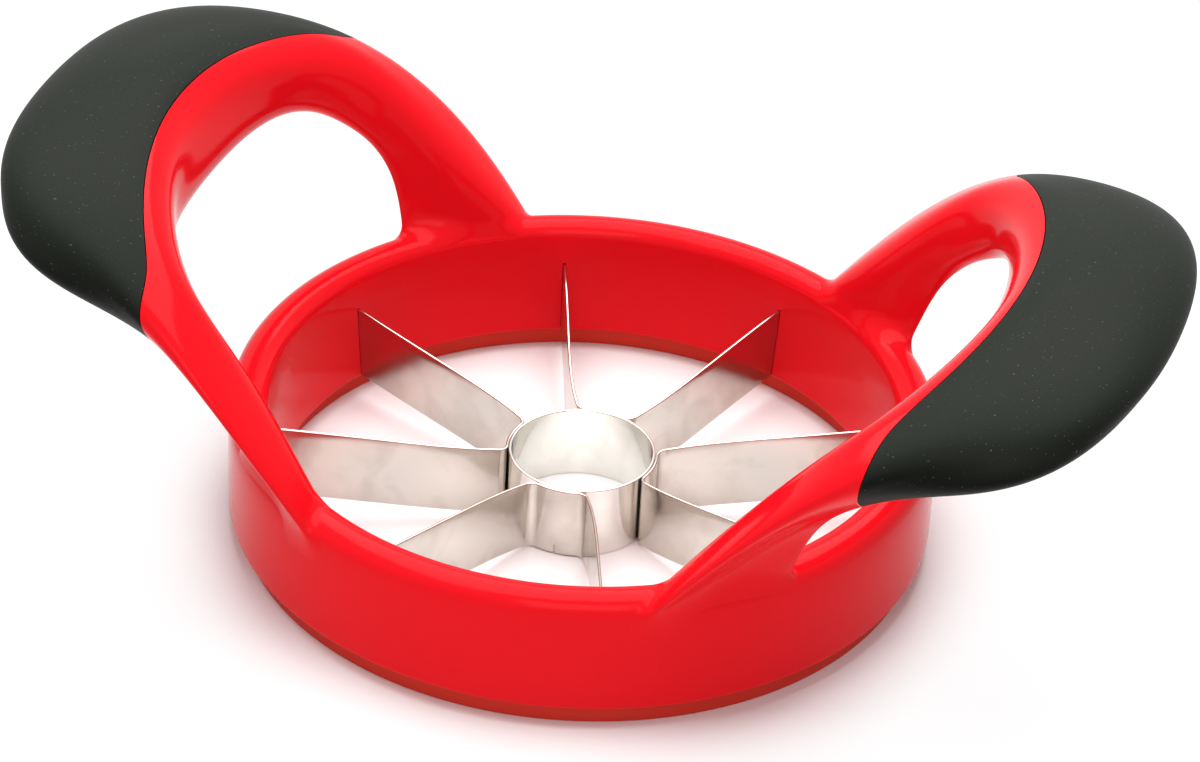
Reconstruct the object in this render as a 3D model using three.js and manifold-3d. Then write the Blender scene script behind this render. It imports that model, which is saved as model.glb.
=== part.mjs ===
// Apple slicer: a ring with two arched side handles that presses a corer tube and eight
// radial blades down through an apple. Millimetres, +Z up. The ring's axis is the Z axis, the
// handles lie along X, and the corer's bottom rim, on which the slicer stands, is at z = 0.
import * as THREE from 'three';
import { mergeVertices } from 'three/addons/utils/BufferGeometryUtils.js';
import Module from 'manifold-3d';

// Ring
const ringOuterRadius = 58.6;
const ringWallThickness = 8.1; // at the foot of the wall
const ringHeight = 20.5;
const innerWallFlare = 1.7; // the inner wall leans outwards by this much up to the rim
const rimInnerRound = 3;
const rimOuterRound = 3.4;
const footChamfer = 0.4;

// Channel under the ring that takes the ends of the blades
const innerWallThickness = 2.5;
const outerWallThickness = 2.4;

// Closing ring in the mouth of the channel
const baseRingHeight = 3;

// Corer tube
const corerOuterRadius = 12.2;
const corerWall = 0.5;
const corerHeight = 13;
const corerDrop = 4; // the corer reaches this far below the ring

// Blade strips
const stripCount = 4;
const stripThickness = 0.5;
const bladeHeight = 13;
const bladeEndLift = 0.2; // the blades' lower edge at the ring lies this far above its bottom
const wrapTopDrop = 0.1; // the wrap ends this far below the corer's top rim
const wrapBottomRise = 0.2; // and this far above its bottom rim
const wrapBendRadius = 0.6;
const tabLength = 4;
const slitWidth = 0.4;
const slitHeight = 1.2;

// Handles
const handleReach = 98; // from the ring's axis to the outer edge of the palm rest
const handleHalfWidth = 52;
const handleRise = 62; // above the ring's bottom
const footDepth = 4; // the feet start this far below the rim's top
const ridgeFootDepth = 7.9; // and the outer ridge's foot, in the outer wall, this far
const footInnerMargin = 0.2; // clear of the rim's inner edge
const footOuterMargin = 1; // clear of the ring's outer wall

// Grips: the seam is a wall that leans outwards as it rises. Seen from above it is bowed
// towards the handle's outer edge, and near both ends it runs straight, along the ring's side.
const bandWidth = 6.1; // of the hard band between the finger hole and the seam
const seamRadius = 81.3;
const seamEndRound = 2; // softens the bend between the bowed and the straight stretch
const seamLeanHeight = 52; // above the ring's bottom, where the straight stretch meets the wall
const seamLeanShare = 0.18; // of the height that the seam gains
const gripWall = 2.5;
const gripClearance = 0.6; // between a grip and the core that it is moulded on

// Fits and cuts
const fitClearance = 0.3;
const cutOverrun = 2;

// Resolution
const ringSegments = 80;
const corerSegments = 48;
const rimSegments = 2;
const bendSegments = 3;
const wrapSegments = 8;
const seamSegments = 24; // on either side of the handle's middle
const skinLengthSegments = 18; // along half a handle
const skinRoundSegments = 20;
const coreLengthSegments = 11;
const coreRoundSegments = 12;

// Roundness of a handle's section: 1 is an ellipse and 0 a square.
const sectionRoundnessShare = 0.74;

// A handle's skin is drawn over four guide curves, the corners of its section: inner top, inner
// bottom, outer top and outer bottom, inner being the finger hole's side. Each is a smooth curve
// from the palm rest's middle to a foot in the rim. Its first four control points are shares of
// the handle's reach, half width and rise. Its last, the foot, stands in the rim at a share of a
// quarter turn from the handle's middle.
const guideShares = [
  [[0.716, 0, 1.044], [0.716, 0.158, 1.044], [0.521, 1.21, 0.842], [0.567, 0.485, 0.9]],
  [[0.649, 0, 0.693], [0.649, 1.181, 0.693], [0.485, 0.129, 0.519], [0.528, 1.029, 0.672]],
  [[1.009, 0, 0.972], [1.009, 0.896, 0.972], [0.719, 0.504, 0.97], [0.556, 1.283, 0.938]],
  [[0.923, 0, 0.774], [0.923, 1.073, 0.774], [0.838, 1.041, 0.86], [0.547, 0.596, 0.75]],
];
const footTurnShares = [0.695, 0.347, 0.73, 0.631];

// Places worked out from the sizes
const ringBottom = corerDrop;
const rimTop = ringBottom + ringHeight;
const ringInnerRadius = ringOuterRadius - ringWallThickness;
const channelInnerRadius = ringInnerRadius + innerWallThickness;
const channelOuterRadius = ringOuterRadius - outerWallThickness;
const bladeEndTop = ringBottom + bladeEndLift + bladeHeight;
const channelRoof = bladeEndTop + fitClearance;
const rimInnerRadius = ringInnerRadius + innerWallFlare;
const baseRingTop = ringBottom + baseRingHeight;
const slotHalfWidth = stripThickness / 2 + fitClearance;
const bladeAngle = Math.PI / stripCount / 2; // between a strip's middle and either blade
const bladeEndBottom = ringBottom + bladeEndLift;
const holeReach = guideShares[1][0][0] * handleReach; // from the ring's axis to the hole's edge
const seamMiddle = holeReach + bandWidth - seamRadius; // of the seam's bow, on X
const wrapRadius = corerOuterRadius + fitClearance + stripThickness / 2;
const wrapOuterRadius = wrapRadius + stripThickness / 2;
const wrapTop = corerHeight - wrapTopDrop;

const redPlastic = new THREE.MeshStandardMaterial({
  name: 'red_plastic', color: 0xd8242a, roughness: 0.22, metalness: 0,
});
const darkRubber = new THREE.MeshStandardMaterial({
  name: 'dark_rubber', color: 0x343a32, roughness: 0.75, metalness: 0,
});
const steel = new THREE.MeshStandardMaterial({
  name: 'stainless_steel', color: 0xc8c6c2, roughness: 0.28, metalness: 1,
});

const wasm = await Module();
wasm.setup();

// The solid of a closed geometry, whose shared corners are merged first.
function solidOf(geometry) {
  const bare = geometry.clone();
  bare.deleteAttribute('normal');
  bare.deleteAttribute('uv');
  const merged = mergeVertices(bare);
  return new wasm.Manifold(new wasm.Mesh({
    numProp: 3,
    vertProperties: Float32Array.from(merged.attributes.position.array),
    triVerts: Uint32Array.from(merged.index.array),
  }));
}

// The geometry of a solid.
function geometryOf(solid) {
  const { vertProperties, triVerts } = solid.getMesh();
  const geometry = new THREE.BufferGeometry();
  geometry.setAttribute('position', new THREE.BufferAttribute(vertProperties, 3));
  geometry.setIndex(new THREE.BufferAttribute(triVerts, 1));
  geometry.computeVertexNormals();
  return geometry;
}

// A named mesh of a solid in one material, turned about the ring's axis.
function piece(name, solid, material, turn = 0) {
  const mesh = new THREE.Mesh(geometryOf(solid), material);
  mesh.name = name;
  mesh.rotation.z = turn;
  return mesh;
}

// Solid of revolution round Z from a closed path in radius and height.
function revolve(path, segments) {
  const outline = path.getPoints(rimSegments);
  outline.push(outline[0].clone());
  return solidOf(new THREE.LatheGeometry(outline, segments).rotateX(Math.PI / 2));
}

// Box between two corners.
function boxBetween(low, high) {
  const size = high.clone().sub(low);
  const middle = high.clone().add(low).divideScalar(2);
  const geometry = new THREE.BoxGeometry(size.x, size.y, size.z);
  return solidOf(geometry.translate(middle.x, middle.y, middle.z));
}

// The ring: a wall with a full round rim, hollow from below by the channel.
function ringSolid() {
  const path = new THREE.Path();
  path.moveTo(channelInnerRadius, ringBottom);
  path.lineTo(channelInnerRadius, channelRoof);
  path.lineTo(channelOuterRadius, channelRoof);
  path.lineTo(channelOuterRadius, ringBottom);
  path.lineTo(ringOuterRadius - footChamfer, ringBottom);
  path.lineTo(ringOuterRadius, ringBottom + footChamfer);
  path.lineTo(ringOuterRadius, rimTop - rimOuterRound);
  path.absarc(ringOuterRadius - rimOuterRound, rimTop - rimOuterRound, rimOuterRound, 0, Math.PI / 2);
  path.lineTo(rimInnerRadius + rimInnerRound, rimTop);
  path.absarc(
    rimInnerRadius + rimInnerRound, rimTop - rimInnerRound, rimInnerRound, Math.PI / 2, Math.PI,
  );
  path.lineTo(ringInnerRadius, ringBottom + footChamfer);
  path.lineTo(ringInnerRadius + footChamfer, ringBottom);
  return revolve(path, ringSegments);
}

// One slot through the ring's inner wall, open at the bottom, for each blade.
function slotSolids() {
  const slot = boxBetween(
    new THREE.Vector3(ringInnerRadius - cutOverrun, -slotHalfWidth, ringBottom - cutOverrun),
    new THREE.Vector3(channelInnerRadius + fitClearance, slotHalfWidth, channelRoof),
  );
  const slots = [];
  for (let blade = 0; blade < 2 * stripCount; blade += 1) {
    const turn = bladeAngle + 2 * bladeAngle * blade;
    slots.push(slot.rotate(0, 0, THREE.MathUtils.radToDeg(turn)));
  }
  return slots;
}

// The control points of one corner of the handle's section, from the palm rest's middle to a
// foot. The inner top corner, 0, stands at the rim's inner edge, and the others in its outer
// wall. The outer top corner, 2, is the ridge that runs down that wall.
function guidePoints(shares, corner) {
  const turn = (footTurnShares[corner] * Math.PI) / 2;
  const footRadius = corner === 0
    ? rimInnerRadius + footInnerMargin
    : ringOuterRadius - footOuterMargin;
  const footLevel = rimTop - (corner === 2 ? ridgeFootDepth : footDepth);
  const points = shares.map(([reachShare, widthShare, riseShare]) => new THREE.Vector3(
    reachShare * handleReach, widthShare * handleHalfWidth, ringBottom + riseShare * handleRise,
  ));
  points.push(new THREE.Vector3(
    footRadius * Math.cos(turn), footRadius * Math.sin(turn), footLevel,
  ));
  return points;
}

// The place at a share of the smooth curve that a row of control points draws: the points are
// blended with their neighbours by that share until one is left.
function curvePlace(points, share) {
  if (points.length === 1) return points[0];
  const blended = points.slice(1).map((point, place) => points[place].clone().lerp(point, share));
  return curvePlace(blended, share);
}

// A circle's coordinate drawn out towards the square.
function rounded(value) {
  return Math.sign(value) * Math.abs(value) ** sectionRoundnessShare;
}

// One section of a handle as a loop of points: a rounded square drawn over the four corners,
// drawn in by the inset.
function sectionLoop([innerTop, innerBottom, outerTop, outerBottom], inset, roundSegments) {
  const innerMiddle = innerTop.clone().lerp(innerBottom, 1 / 2);
  const outerMiddle = outerTop.clone().lerp(outerBottom, 1 / 2);
  const topMiddle = innerTop.clone().lerp(outerTop, 1 / 2);
  const bottomMiddle = innerBottom.clone().lerp(outerBottom, 1 / 2);
  const acrossShare = 1 - (2 * inset) / innerMiddle.distanceTo(outerMiddle);
  const upShare = 1 - (2 * inset) / topMiddle.distanceTo(bottomMiddle);
  const loop = [];
  for (let step = 0; step < roundSegments; step += 1) {
    const angle = (2 * Math.PI * step) / roundSegments;
    const across = (1 + rounded(Math.cos(angle)) * acrossShare) / 2;
    const up = (1 + rounded(Math.sin(angle)) * upShare) / 2;
    const bottom = innerBottom.clone().lerp(outerBottom, across);
    const top = innerTop.clone().lerp(outerTop, across);
    loop.push(bottom.lerp(top, up));
  }
  return loop;
}

// The solid skinned over a row of section loops, closed at both ends.
function loftSolid(loops) {
  const positions = loops.flat().flatMap((point) => point.toArray());
  const count = loops[0].length;
  const triangles = [];
  for (let row = 0; row < loops.length - 1; row += 1) {
    for (let step = 0; step < count; step += 1) {
      const near = row * count + step;
      const beside = row * count + ((step + 1) % count);
      triangles.push(near, near + count, beside, beside, near + count, beside + count);
    }
  }
  const last = (loops.length - 1) * count;
  for (let step = 1; step < count - 1; step += 1) {
    triangles.push(0, step, step + 1, last, last + step + 1, last + step);
  }
  const geometry = new THREE.BufferGeometry();
  geometry.setAttribute('position', new THREE.Float32BufferAttribute(positions, 3));
  geometry.setIndex(triangles);
  return solidOf(geometry);
}

// The arch of the handle on the +X side, from foot to foot, drawn in by the inset.
function archSolid(inset, lengthSegments, roundSegments) {
  const guides = guideShares.map(guidePoints);
  const loops = [];
  for (let step = -lengthSegments; step <= lengthSegments; step += 1) {
    const side = new THREE.Vector3(1, Math.sign(step), 1);
    const share = Math.abs(step) / lengthSegments;
    const corners = guides.map((guide) => curvePlace(guide, share).multiply(side));
    loops.push(sectionLoop(corners, inset, roundSegments));
  }
  return loftSolid(loops);
}

// The arch's outer skin, and the core inside the grips with a clearance round it.
function archSkin() {
  return archSolid(0, skinLengthSegments, skinRoundSegments);
}

function archCore(clearance) {
  return archSolid(gripWall + clearance, coreLengthSegments, coreRoundSegments);
}

// The seam's place on X for a place on Y, moved outwards by a clearance: the further out of the
// bow and the straight wall, with a soft bend between them.
function seamReach(across, clearance) {
  const bow = seamMiddle + Math.sqrt((seamRadius + clearance) ** 2 - across ** 2);
  const straight = ringOuterRadius + clearance;
  return (bow + straight + Math.hypot(bow - straight, seamEndRound)) / 2;
}

// Everything on the ring's side of a grip's seam, moved outwards by a clearance.
function seamSolid(clearance) {
  const halfWidth = ringOuterRadius + cutOverrun;
  const outline = new THREE.Shape();
  outline.moveTo(0, halfWidth);
  outline.lineTo(0, -halfWidth);
  for (let step = -seamSegments; step <= seamSegments; step += 1) {
    const across = (halfWidth * step) / seamSegments;
    outline.lineTo(seamReach(across, clearance), across);
  }
  const depth = ringBottom + handleRise + 2 * cutOverrun;
  const geometry = new THREE.ExtrudeGeometry(outline, { depth, bevelEnabled: false });
  geometry.translate(0, 0, -ringBottom - seamLeanHeight);
  geometry.applyMatrix4(new THREE.Matrix4().makeShear(0, 0, 0, 0, seamLeanShare, 0));
  return solidOf(geometry.translate(0, 0, ringBottom + seamLeanHeight));
}

// Both handles of a solid that lies on the +X side.
function bothSides(solid) {
  return solid.add(solid.rotate(0, 0, 180));
}

// The red moulding: ring, arches up to the seams, and the cores inside the grips.
function bodySolid() {
  const shown = archSkin().intersect(seamSolid(0));
  const handles = bothSides(shown.add(archCore(gripClearance)));
  const ring = slotSolids().reduce((solid, slot) => solid.subtract(slot), ringSolid());
  return ring.add(handles);
}

// One soft grip on the +X side: the arch beyond the seam, hollow for the core.
function gripSolid() {
  const sleeve = archSkin().subtract(seamSolid(fitClearance));
  return sleeve.subtract(archCore(0));
}

// The thin tube that takes the core out.
function corerSolid() {
  const path = new THREE.Path();
  path.moveTo(corerOuterRadius - corerWall, corerHeight);
  path.lineTo(corerOuterRadius - corerWall, 0);
  path.lineTo(corerOuterRadius, 0);
  path.lineTo(corerOuterRadius, corerHeight);
  return revolve(path, corerSegments);
}

// The ring that closes the channel under the tabs.
function baseRingSolid() {
  const path = new THREE.Path();
  path.moveTo(channelInnerRadius + fitClearance, baseRingTop);
  path.lineTo(channelInnerRadius + fitClearance, ringBottom);
  path.lineTo(channelOuterRadius - fitClearance, ringBottom);
  path.lineTo(channelOuterRadius - fitClearance, baseRingTop);
  return revolve(path, ringSegments);
}

// Points on an arc in plan, after its start, through a sweep.
function arcPoints(centre, radius, start, sweep, count) {
  const points = [];
  for (let step = 1; step <= count; step += 1) {
    const angle = start + (sweep * step) / count;
    const spoke = new THREE.Vector2(Math.cos(angle), Math.sin(angle));
    points.push(spoke.multiplyScalar(radius).add(centre));
  }
  return points;
}

// Half of a strip's middle line in plan: from the middle of its wrap, on the X axis, round the
// corer, out along a blade and, past the slot, into the tab behind the ring's inner wall.
function halfStripLine() {
  const axis = new THREE.Vector2(0, 0);
  const out = new THREE.Vector2(Math.cos(bladeAngle), Math.sin(bladeAngle));
  const aside = new THREE.Vector2(-out.y, out.x);
  const bendDistance = wrapRadius + wrapBendRadius;
  const wrapAngle = bladeAngle - Math.asin(wrapBendRadius / bendDistance);
  const wrapBendCentre = new THREE.Vector2(Math.cos(wrapAngle), Math.sin(wrapAngle));
  wrapBendCentre.multiplyScalar(bendDistance);
  const wrapBendSweep = bladeAngle - wrapAngle - Math.PI / 2;
  const tabBendCentre = out.clone().multiplyScalar(channelInnerRadius);
  tabBendCentre.addScaledVector(aside, slotHalfWidth);
  const tabEnd = tabBendCentre.clone().addScaledVector(out, slotHalfWidth);
  return [
    new THREE.Vector2(wrapRadius, 0),
    ...arcPoints(axis, wrapRadius, 0, wrapAngle, wrapSegments),
    ...arcPoints(wrapBendCentre, wrapBendRadius, wrapAngle + Math.PI, wrapBendSweep, bendSegments),
    out.clone().multiplyScalar(channelInnerRadius),
    ...arcPoints(tabBendCentre, slotHalfWidth, bladeAngle - Math.PI / 2, Math.PI / 2, bendSegments),
    tabEnd.addScaledVector(aside, tabLength),
  ];
}

// The outline of a sheet of one thickness that follows a line in plan.
function sheetOutline(line, thickness) {
  const left = [];
  const right = [];
  line.forEach((point, index) => {
    const before = point.clone().sub(line[Math.max(index - 1, 0)]).normalize();
    const after = line[Math.min(index + 1, line.length - 1)].clone().sub(point).normalize();
    const along = before.clone().add(after).normalize();
    const turn = Math.max(along.dot(before), along.dot(after));
    const aside = new THREE.Vector2(-along.y, along.x).multiplyScalar(thickness / 2 / turn);
    left.push(point.clone().add(aside));
    right.unshift(point.clone().sub(aside));
  });
  return new THREE.Shape([...left, ...right]);
}

// The room that the strips' edges are cut to: level round the corer, rising along the blades to
// the ring, and clear of the closing ring inside the channel.
function stripEnvelope() {
  const tabBottom = baseRingTop + fitClearance;
  const path = new THREE.Path();
  path.moveTo(corerOuterRadius, wrapTop);
  path.lineTo(corerOuterRadius, wrapBottomRise);
  path.lineTo(wrapOuterRadius, wrapBottomRise);
  path.lineTo(ringInnerRadius, bladeEndBottom);
  path.lineTo(channelInnerRadius, bladeEndBottom);
  path.lineTo(channelInnerRadius, tabBottom);
  path.lineTo(channelOuterRadius, tabBottom);
  path.lineTo(channelOuterRadius, bladeEndTop);
  path.lineTo(ringInnerRadius, bladeEndTop);
  path.lineTo(wrapOuterRadius, wrapTop);
  return revolve(path, ringSegments).rotate(0, 0, 180 / ringSegments);
}

// One strip, with its wrap on the X axis and a small slit in the wrap's lower edge.
function stripSolid() {
  const half = halfStripLine();
  const mirrored = half.slice(1).map((point) => new THREE.Vector2(point.x, -point.y));
  const outline = sheetOutline([...mirrored.reverse(), ...half], stripThickness);
  const height = bladeEndTop + cutOverrun;
  const sheet = new THREE.ExtrudeGeometry(outline, { depth: height, bevelEnabled: false });
  const slit = boxBetween(
    new THREE.Vector3(corerOuterRadius, -slitWidth / 2, wrapBottomRise - cutOverrun),
    new THREE.Vector3(wrapOuterRadius + cutOverrun, slitWidth / 2, wrapBottomRise + slitHeight),
  );
  return solidOf(sheet).intersect(stripEnvelope()).subtract(slit);
}

const slicer = new THREE.Group();
slicer.name = 'apple_slicer';
slicer.add(piece('body', bodySolid(), redPlastic));

const grip = gripSolid();
slicer.add(piece('grip_right', grip, darkRubber, 0));
slicer.add(piece('grip_left', grip, darkRubber, Math.PI));

slicer.add(piece('corer_tube', corerSolid(), steel));
const strip = stripSolid();
['east', 'north', 'west', 'south'].forEach((side, index) => {
  slicer.add(piece(`blade_strip_${side}`, strip, steel, 4 * bladeAngle * index));
});

slicer.add(piece('base_ring', baseRingSolid(), redPlastic));

export default slicer;
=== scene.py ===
"""Looks of an apple slicer: a glossy ring with two arched handles, soft grips and steel blades.

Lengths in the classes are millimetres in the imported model's frame: +Z up, the ring's axis on
the Z axis, the handles along X and the corer's bottom rim at z = 0. Meshes are put into Blender
in metres.
"""
import logging
import math
from dataclasses import dataclass, field
from enum import Enum

import bmesh
import bpy
import numpy as np
from mathutils import Matrix, Vector


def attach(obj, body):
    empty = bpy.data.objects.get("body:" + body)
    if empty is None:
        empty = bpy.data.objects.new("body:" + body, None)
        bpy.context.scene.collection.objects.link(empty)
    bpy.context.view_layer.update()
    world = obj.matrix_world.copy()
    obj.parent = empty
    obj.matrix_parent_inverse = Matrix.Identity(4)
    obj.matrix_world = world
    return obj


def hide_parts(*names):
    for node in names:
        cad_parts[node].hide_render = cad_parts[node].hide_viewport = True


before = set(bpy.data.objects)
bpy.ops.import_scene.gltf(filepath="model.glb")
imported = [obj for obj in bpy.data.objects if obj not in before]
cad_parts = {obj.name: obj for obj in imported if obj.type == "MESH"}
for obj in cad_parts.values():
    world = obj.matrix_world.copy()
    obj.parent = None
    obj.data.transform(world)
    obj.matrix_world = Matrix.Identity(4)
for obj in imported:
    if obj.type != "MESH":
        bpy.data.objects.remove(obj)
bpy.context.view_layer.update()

BODY = "root"
METRES = 0.001
QUARTER = math.pi / 2
FULL = 2 * math.pi
# Keeps a division by the difference of two equal numbers defined.
TINY = 1e-9

log = logging.getLogger("apple_slicer")


class Slot(Enum):
    """The record's material slots."""

    RED_PLASTIC = "red_plastic"
    DARK_RUBBER = "dark_rubber"
    STEEL = "stainless_steel"


# Materials


def linear(hex_colour: str) -> tuple[float, float, float, float]:
    """Turn an sRGB hex colour into Blender's linear colour.

    Args:
        hex_colour: six hex digits.

    Returns:
        Red, green and blue as linear shares, and full opacity.
    """
    shares = [int(hex_colour[i:i + 2], 16) / 255 for i in (0, 2, 4)]
    light = [s / 12.92 if s <= 0.04045 else ((s + 0.055) / 1.055) ** 2.4 for s in shares]
    return (*light, 1.0)


def add_node(tree: bpy.types.NodeTree, kind: str, sets: dict | None = None,
             links: dict | None = None) -> bpy.types.Node:
    """Add a shader node with its settings and links.

    Args:
        tree: the material's node tree.
        kind: the node's type name.
        sets: attribute names, or input names or numbers, with their values.
        links: input names or numbers with the output socket that feeds each.

    Returns:
        The new node.
    """
    node = tree.nodes.new(kind)
    for key, value in (sets or {}).items():
        if isinstance(key, str) and hasattr(node, key):
            setattr(node, key, value)
        else:
            node.inputs[key].default_value = value
    for key, socket in (links or {}).items():
        tree.links.new(socket, node.inputs[key])
    return node


@dataclass(frozen=True)
class Finish:
    """What every finish starts from: a name, a colour and how the surface throws light back."""

    name: str
    colour: str
    roughness: float
    metallic: float = 0.0
    ior: float = 1.5

    def start(self) -> tuple[bpy.types.Material, bpy.types.NodeTree, bpy.types.Node, bpy.types.Node]:
        """Make the material with its constants set on the shader.

        Returns:
            The material, its node tree, its surface shader and its coordinates node.
        """
        material = bpy.data.materials.new(self.name)
        material.use_nodes = True
        tree = material.node_tree
        shader = tree.nodes["Principled BSDF"]
        shader.inputs["Base Color"].default_value = linear(self.colour)
        shader.inputs["Roughness"].default_value = self.roughness
        shader.inputs["Metallic"].default_value = self.metallic
        if not self.metallic:
            shader.inputs["IOR"].default_value = self.ior
        coordinates = add_node(tree, "ShaderNodeTexCoord")
        return material, tree, shader, coordinates


@dataclass(frozen=True)
class MouldedAbs(Finish):
    """Polished-mould ABS: an even saturated colour under a clear gloss, with a faint flow."""

    name: str = "moulded_abs_red"
    colour: str = "DE101B"
    roughness: float = 0.12
    ior: float = 1.52
    specular: float = 0.06
    flow_mm: float = 18.0
    flow_height_mm: float = 0.02
    flow_detail: float = 2.0
    flow_strength: float = 0.35
    gloss_spread: tuple[float, float] = (0.85, 1.2)

    def build(self) -> bpy.types.Material:
        """Make the material: the gloss wavers a little where the melt flowed.

        Returns:
            The material.
        """
        material, tree, shader, coordinates = self.start()
        shader.inputs["Specular IOR Level"].default_value = self.specular
        waver = add_node(tree, "ShaderNodeTexNoise",
                         {"Scale": 1 / (self.flow_mm * METRES), "Detail": self.flow_detail},
                         {"Vector": coordinates.outputs["Object"]})
        rough = add_node(tree, "ShaderNodeMapRange",
                         {"To Min": self.roughness * self.gloss_spread[0],
                          "To Max": self.roughness * self.gloss_spread[1]},
                         {"Value": waver.outputs["Fac"]})
        tree.links.new(rough.outputs["Result"], shader.inputs["Roughness"])
        bump = add_node(tree, "ShaderNodeBump",
                        {"Strength": self.flow_strength, "Distance": self.flow_height_mm * METRES},
                        {"Height": waver.outputs["Fac"]})
        tree.links.new(bump.outputs["Normal"], shader.inputs["Normal"])
        return material


@dataclass(frozen=True)
class ShadedBaseAbs(MouldedAbs):
    """The closing ring's ABS: the same plastic, duller, in a darker and browner red that paints the shade
    under the body.
    """

    name: str = "moulded_abs_base_painted_shade"
    # Painted shade: a darker, browner red than the body's, for the foot that sits in shade under the body.
    colour: str = "C93428"
    roughness: float = 0.35


@dataclass(frozen=True)
class SoftTpe(Finish):
    """Overmoulded TPE: near-black, matt, with a fine spark-eroded grain that catches dust.

    Painted light makes the faces that look up greyer, as if lit from above. The real grain and
    the specks of dust are under 0.1 mm: both are drawn several times coarser, so that they show.
    """

    name: str = "overmoulded_tpe"
    colour: str = "0A0C08"
    # Painted light: the lighter colour of the faces that look up, as if lit from above.
    painted_top_light_colour: str = "1B1F19"
    roughness: float = 0.45
    ior: float = 1.49
    specular: float = 0.06
    grain_mm: float = 0.35
    grain_height_mm: float = 0.03
    grain_detail: float = 3.0
    grain_strength: float = 0.6
    fleck_mm: float = 0.4
    fleck_detail: float = 1.0
    fleck_between: tuple[float, float] = (0.72, 0.8)
    fleck_colour: str = "565B52"
    painted_top_light_between: tuple[float, float] = (-0.1, 0.9)

    def build(self) -> bpy.types.Material:
        """Make the material: grain in the surface, painted light that makes the upward faces greyer, and a
        few pale flecks.

        Returns:
            The material.
        """
        material, tree, shader, coordinates = self.start()
        shader.inputs["Specular IOR Level"].default_value = self.specular
        grain = add_node(tree, "ShaderNodeTexNoise",
                         {"Scale": 1 / (self.grain_mm * METRES), "Detail": self.grain_detail},
                         {"Vector": coordinates.outputs["Object"]})
        bump = add_node(tree, "ShaderNodeBump",
                        {"Strength": self.grain_strength, "Distance": self.grain_height_mm * METRES},
                        {"Height": grain.outputs["Fac"]})
        tree.links.new(bump.outputs["Normal"], shader.inputs["Normal"])
        fleck = add_node(tree, "ShaderNodeTexNoise",
                         {"Scale": 1 / (self.fleck_mm * METRES), "Detail": self.fleck_detail},
                         {"Vector": coordinates.outputs["Object"]})
        rare = add_node(tree, "ShaderNodeMapRange",
                        {"From Min": self.fleck_between[0], "From Max": self.fleck_between[1]},
                        {"Value": fleck.outputs["Fac"]})
        # Painted light: faces that look up get a lighter colour by their normal's Z, as if lit from above.
        geometry = add_node(tree, "ShaderNodeNewGeometry")
        facing = add_node(tree, "ShaderNodeSeparateXYZ", {}, {0: geometry.outputs["Normal"]})
        painted_top_light_share = add_node(tree, "ShaderNodeMapRange",
                         {"From Min": self.painted_top_light_between[0], "From Max": self.painted_top_light_between[1]},
                         {"Value": facing.outputs["Z"]})
        top_lit_colour = add_node(tree, "ShaderNodeMix", {"data_type": "RGBA", 6: linear(self.colour),
                                                7: linear(self.painted_top_light_colour)},
                        {0: painted_top_light_share.outputs["Result"]})
        mix = add_node(tree, "ShaderNodeMix", {"data_type": "RGBA", 7: linear(self.fleck_colour)},
                       {0: rare.outputs["Result"], 6: top_lit_colour.outputs[2]})
        tree.links.new(mix.outputs[2], shader.inputs["Base Color"])
        return material


@dataclass(frozen=True)
class RolledSteel(Finish):
    """Cold-rolled stainless sheet: bright, with faint rolling lines and the smudges of handling.

    Real rolling lines lie some hundredths of a millimetre apart: they are drawn coarser, at a
    quarter of a millimetre, so that the broken reflections they give still show.
    """

    name: str = "rolled_stainless"
    colour: str = "D3CDC5"
    smudge_colour: str = "C6BFB6"
    roughness: float = 0.17
    metallic: float = 1.0
    line_mm: float = 0.25
    line_height_mm: float = 0.0015
    line_detail: float = 4.0
    line_strength: float = 0.3
    line_stretch: tuple[float, float, float] = (0.04, 0.04, 1.0)
    smudge_mm: float = 7.0
    smudge_detail: float = 3.0
    smudge_distortion: float = 0.6
    smudge_between: tuple[float, float] = (0.45, 0.7)
    gloss_spread: tuple[float, float] = (0.9, 1.3)

    def build(self) -> bpy.types.Material:
        """Make the material: level lines tilt the surface slightly, and smudges dull it.

        Returns:
            The material.
        """
        material, tree, shader, coordinates = self.start()
        stretch = add_node(tree, "ShaderNodeMapping", {"Scale": self.line_stretch},
                           {"Vector": coordinates.outputs["Object"]})
        lines = add_node(tree, "ShaderNodeTexNoise",
                         {"Scale": 1 / (self.line_mm * METRES), "Detail": self.line_detail},
                         {"Vector": stretch.outputs["Vector"]})
        bump = add_node(tree, "ShaderNodeBump",
                        {"Strength": self.line_strength, "Distance": self.line_height_mm * METRES},
                        {"Height": lines.outputs["Fac"]})
        tree.links.new(bump.outputs["Normal"], shader.inputs["Normal"])
        smudge = add_node(tree, "ShaderNodeTexNoise",
                          {"Scale": 1 / (self.smudge_mm * METRES), "Detail": self.smudge_detail,
                           "Distortion": self.smudge_distortion},
                          {"Vector": coordinates.outputs["Object"]})
        patch = add_node(tree, "ShaderNodeMapRange",
                         {"From Min": self.smudge_between[0], "From Max": self.smudge_between[1]},
                         {"Value": smudge.outputs["Fac"]})
        rough = add_node(tree, "ShaderNodeMapRange",
                         {"To Min": self.roughness * self.gloss_spread[0],
                          "To Max": self.roughness * self.gloss_spread[1]},
                         {"Value": patch.outputs["Result"]})
        tree.links.new(rough.outputs["Result"], shader.inputs["Roughness"])
        tint = add_node(tree, "ShaderNodeMix", {"data_type": "RGBA", 6: linear(self.colour),
                                                7: linear(self.smudge_colour)},
                        {0: patch.outputs["Result"]})
        tree.links.new(tint.outputs[2], shader.inputs["Base Color"])
        return material


@dataclass(frozen=True)
class DrawnTube(RolledSteel):
    """Drawn and polished stainless tube: paler and smoother than the strips."""

    name: str = "drawn_stainless_tube"
    colour: str = "E8E5DF"
    smudge_colour: str = "DDD9D2"
    roughness: float = 0.14
    line_height_mm: float = 0.001


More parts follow.
